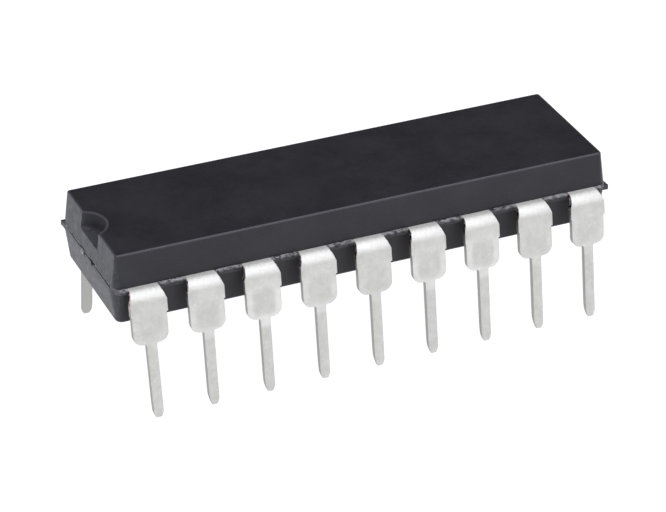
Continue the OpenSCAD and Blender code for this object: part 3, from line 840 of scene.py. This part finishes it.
def contact_press(n):
    """How hard the socket contact pressed lead n, from 0.2 to 1. It differs along the row."""
    return 0.6 + 0.4 * math.cos(2 * math.pi * (n - 3) / CONTACT_EVERY)


def left_tip_length(n):
    return TIP_MEAN - TIP_VARIES * math.cos(TIP_TURN * (n - 1))


def box_error_mm(piece, node_name):
    """Largest distance between a side of the piece's box and that side of the solid's box."""
    made = [Vector(c) for c in piece.bound_box]
    ends = zip((min, max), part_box(node_name))
    return max(abs(end(c[i] for c in made) - solid[i]) for end, solid in ends for i in range(3)) / MM


for n in range(1, 2 * PER_ROW + 1):
    front = n <= PER_ROW
    place = (n - 1 if front else 2 * PER_ROW - n) - (PER_ROW - 1) / 2
    lead = stamped_lead("tinned_lead_%d" % n, place, -1 if front else 1, contact_press(n),
                        left_tip_length(n), lean=FIRST_LEAN if n == 1 else 0.0)
    lead.data.materials.append(tin)
    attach(lead, "root")
    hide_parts("lead_%d" % n)
    if n in (1, 9, 18):
        print("lead %d: %d faces, box off by %.3f mm"
              % (n, len(lead.data.polygons), box_error_mm(lead, "lead_%d" % n)))

# %% [markdown]
# ## The pieces inside
# The die, its adhesive, the pad and the gold wires are moulded in. They get simple finishes of their
# own, for anyone who opens the model up: a tone with specks, a gloss that wanders a little, and a
# fine grain.
# %% Finish of an inner piece
GLOSS_WANDERS, INNER_BUMP_MM, INNER_BUMP = 0.06, 0.004, 0.4


def inner_finish(name, tone, specks, metallic, roughness, cells_per_mm, level=0.56, cut_end=None):
    material, tree, shader = start_material(name)
    shader.inputs["Metallic"].default_value = metallic
    fine = place_group(tree, grain, {"Cells per mm": cells_per_mm, "Speck level": level})
    soft = place_group(tree, clouds, {"Size in mm": 0.6})
    colour = mix(tree, fine["Specks"], tone, specks)
    if cut_end is not None:
        colour = browned_end(tree, colour, cut_end, specks)
    feed(tree, colour, shader.inputs["Base Color"])
    gloss = ramp(tree, soft["Mask"], 0.0, 1.0, roughness - GLOSS_WANDERS, roughness + GLOSS_WANDERS)
    feed(tree, gloss, shader.inputs["Roughness"])
    bump = add(tree, "ShaderNodeBump",
               {"Strength": INNER_BUMP, "Distance": INNER_BUMP_MM * MM, "Height": fine["Height"]})
    feed(tree, bump.outputs["Normal"], shader.inputs["Normal"])
    return material


# %% [markdown]
# The tie bars of the pad are cut off in the faces of the two ends. These cuts are all that shows of
# the inner pieces. They have gone brown, with a few bright spots painted on as glints. They could be
# pieces of their own, but a mask by how far out they lie gives the same with no new shape.
# %% Finish the inner pieces
CUT_ENDS = (11.41, 11.43)


def browned_end(tree, colour, brown, specks):
    far_out = maths(tree, "ABSOLUTE", axes_mm(tree)["X"])
    # The bright spots on the brown cut ends are painted glints.
    glint_spots = place_group(tree, grain, {"Cells per mm": 5.0, "Speck level": 0.48})
    spotted = mix(tree, glint_spots["Specks"], brown, specks)
    return mix(tree, ramp(tree, far_out, *CUT_ENDS), colour, spotted)


inner_finishes = {
    "die_pad": inner_finish("pad_alloy", (0.6, 0.56, 0.52, 1), (0.72, 0.72, 0.74, 1), 1.0, 0.4, 12,
                            cut_end=(0.03, 0.026, 0.026, 1)),
    "die_attach": inner_finish("silver_paste", (0.32, 0.32, 0.33, 1), (0.8, 0.8, 0.8, 1), 0.6, 0.5, 40,
                               level=0.48),
    "die": inner_finish("sawn_silicon", (0.07, 0.08, 0.12, 1), (0.12, 0.14, 0.2, 1), 0.2, 0.2, 60),
    "bond_wire": inner_finish("gold_wire", (0.94, 0.66, 0.28, 1), (1.0, 0.78, 0.42, 1), 1.0, 0.22, 90)}
for node_name, node in nodes.items():
    kind = "bond_wire" if node_name.startswith("bond_wire") else node_name
    if kind in inner_finishes:
        node.data.materials[0] = inner_finishes[kind]
print("inner finishes:", [m.name for m in inner_finishes.values()])

# %% [markdown]
# ## Torn resin between the leads
# Liquid resin creeps out along the sheet while the body is moulded, as far as the dam bar. The bar
# is cut away with most of this thin resin, and a torn lip stays between the leads and at both ends
# of each row. It is broken, not moulded, so it looks pale and rough. A section is swept along each
# gap, and noise moves every point of it, so that no two lips are alike.
# %% Sweep torn resin along a path
LIP_SECTION = [(-0.03, 5.688), (0.03, 5.695), (0.09, 5.697), (0.135, 5.69), (0.16, 5.66), (0.163, 5.61),
               (0.15, 5.54), (0.115, 5.47), (0.06, 5.425), (-0.03, 5.415)]
LUMPS_PER_MM, POINT_STEP, FINER, FINE_SHARE = 7, 0.5, 3.1, 0.6
UP_FINER, UP_SHARE, ELSEWHERE = 2.3, 0.7, Vector((0, 0, 9))


def ragged_ring(section, x, y, size, seed, ragged):
    """(outward, height) of each point of a section, with its outer points moved by noise."""
    ring = []
    for k, (out, z) in enumerate(section):
        if 0 < k < len(section) - 1:
            spot = Vector((x * LUMPS_PER_MM + seed, y * LUMPS_PER_MM, k * POINT_STEP))
            rough = noise.noise(spot) + FINE_SHARE * noise.noise(spot * FINER)
            out = out * (size if out > 0 else 1) + (ragged * rough if size > 0 else 0)
            z += UP_SHARE * ragged * noise.noise(spot * UP_FINER + ELSEWHERE)
        ring.append((out, z))
    return ring


def swept_resin(name, path, section, row, seed, ragged):
    """path holds (x, y, outward x, outward y, size) for a row at +Y; row -1 mirrors it to the front."""
    shape = bmesh.new()
    rings = [[shape.verts.new(Vector((x + out_x * out, row * (y + out_y * out), z)) * MM)
              for out, z in ragged_ring(section, x, y, size, seed, ragged)]
             for x, y, out_x, out_y, size in path]
    for near, far in zip(rings, rings[1:]):
        for k in range(len(section)):
            shape.faces.new((near[k - 1], near[k], far[k], far[k - 1]))
    shape.faces.new(rings[0])
    shape.faces.new(rings[-1][::-1])
    piece = bpy.data.objects.new(name, finished_mesh(name, shape, sharp_angle=35))
    piece.data.materials.append(torn_epoxy)
    bpy.context.scene.collection.objects.link(piece)
    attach(piece, "root")
    return piece


# %% [markdown]
# A lip between two leads runs straight. The lip at the end of a row runs round the corner of the
# body, where it grows from a thin start, and then along to the last lead. Each gets a seed of its
# own for its noise. Any numbers will do, as long as they differ.
# %% Lay the lips
ROW_END = (PER_ROW - 1) / 2 * PITCH + EXIT_W / 2
CORNER_R, LOWER_CORNER_R = 0.44, 0.48
CORNER_X = BODY_HALF_L + HALF_STEP - LOWER_CORNER_R
STEP_L, LIP_RAGGED = 0.03, 0.028
TURN_FROM, TURN_STEP, TURN_RINGS = 38, 2, 27
THIN_START, GROWN_AFTER = 0.3, 12


def gap_path(x_from, x_to):
    steps = round((x_to - x_from) / STEP_L)
    return [(x_from + (x_to - x_from) * i / steps, SIDE, 0, 1, 1) for i in range(steps + 1)]


def corner_path(s):
    """Round the corner of the body at the end on side s, then along to the last lead."""
    turn = [math.radians(TURN_FROM + TURN_STEP * i) for i in range(TURN_RINGS)]
    bend = [(s * (CORNER_X + CORNER_R * math.cos(a)), SIDE - CORNER_R + CORNER_R * math.sin(a),
             s * math.cos(a), math.sin(a), THIN_START + (1 - THIN_START) * min(i / GROWN_AFTER, 1))
            for i, a in enumerate(turn)]
    along = (CORNER_X - 0.03, CORNER_X - 0.07, CORNER_X - 0.11, ROW_END)
    return bend + [(s * x, SIDE, 0, 1, 1) for x in along]


def torn_lip(name, path, row, seed):
    return swept_resin("torn_resin_" + name, path, LIP_SECTION, row, seed, LIP_RAGGED)


lips = []
for row, side_name in ((-1, "front"), (1, "back")):
    for k in range(PER_ROW - 1):
        x_from = (k - (PER_ROW - 1) / 2) * PITCH + EXIT_W / 2
        lips.append(torn_lip("%s_%d" % (side_name, k + 1), gap_path(x_from, x_from + PITCH - EXIT_W), row,
                             seed=3.7 * k + 11 * row))
    for s, end_name in ((-1, "notch"), (1, "plain")):
        lips.append(torn_lip("%s_%s_end" % (side_name, end_name), corner_path(s), row,
                             seed=5.1 * s + 17 * row))
print("torn lips:", len(lips), "with", sum(len(lip.data.polygons) for lip in lips), "faces")

# %% [markdown]
# ## Bead in the parting line
# Across the two ends the mould halves closed better, and a thin bead of resin fills the step between
# them. Beside the flash spike of each end the bead is full and pale. Further on it thins out, so the
# line shows as a fine dark crack, and it leaves out the ends of the tie bars. The same sweep makes
# it, with a smaller section that changes size. A negative size draws the section into the body.
# %% Sweep the beads
TIE_BAR_Y, TIE_BAR_W, TIE_BAR_ROOM = 0.62, 0.5, 0.04
UPPER_CORNER_R, BEAD_RAGGED, DRAWN_IN = 0.32, 0.01, -0.8
BEAD_SECTION = [(-0.06, 5.63), (0.024, 5.632), (0.034, 5.65), (0.03, 5.675), (0.014, 5.71), (-0.02, 5.73)]
THINS_OUT, THINS_OVER, THIN_SIZE, SIZE_WANDERS = 1.5, 0.9, 0.3, 0.3
CORNER_TURN, CORNER_RINGS, STRAIGHT_RINGS = 4, 15, 120


def bead_size(y, s):
    """Full beside the spike and thin further on, with slow changes in between."""
    if abs(abs(y) - TIE_BAR_Y) < TIE_BAR_W / 2 + TIE_BAR_ROOM:
        return DRAWN_IN
    wander = SIZE_WANDERS * noise.noise(Vector((y * 2, s, 0)))
    return min(max((y - THINS_OUT) / THINS_OVER, THIN_SIZE), 1) + wander


def end_path(s):
    """Across the end on side s, along the foot of the upper half, from the spike's corner on."""
    r, x, y = UPPER_CORNER_R, BODY_HALF_L, BODY_HALF_W
    first = [(x - r + r * math.cos(a), y - r + r * math.sin(a), math.cos(a), math.sin(a))
             for a in (math.radians(CORNER_TURN * k) for k in range(CORNER_RINGS, 0, -1))]
    straight = [(x, (y - r) * (1 - 2 * i / STRAIGHT_RINGS), 1, 0) for i in range(STRAIGHT_RINGS + 1)]
    last = [(px, -py, nx, -ny) for px, py, nx, ny in first[::-1]]
    return [(s * px, -s * py, s * nx, -s * ny, bead_size(py, s))
            for px, py, nx, ny in first + straight + last]


for s, end_name in ((-1, "notch"), (1, "plain")):
    bead = swept_resin("seam_bead_%s_end" % end_name, end_path(s), BEAD_SECTION, 1, 2.9 * s, BEAD_RAGGED)
    print(bead.name, len(bead.data.polygons), "faces")
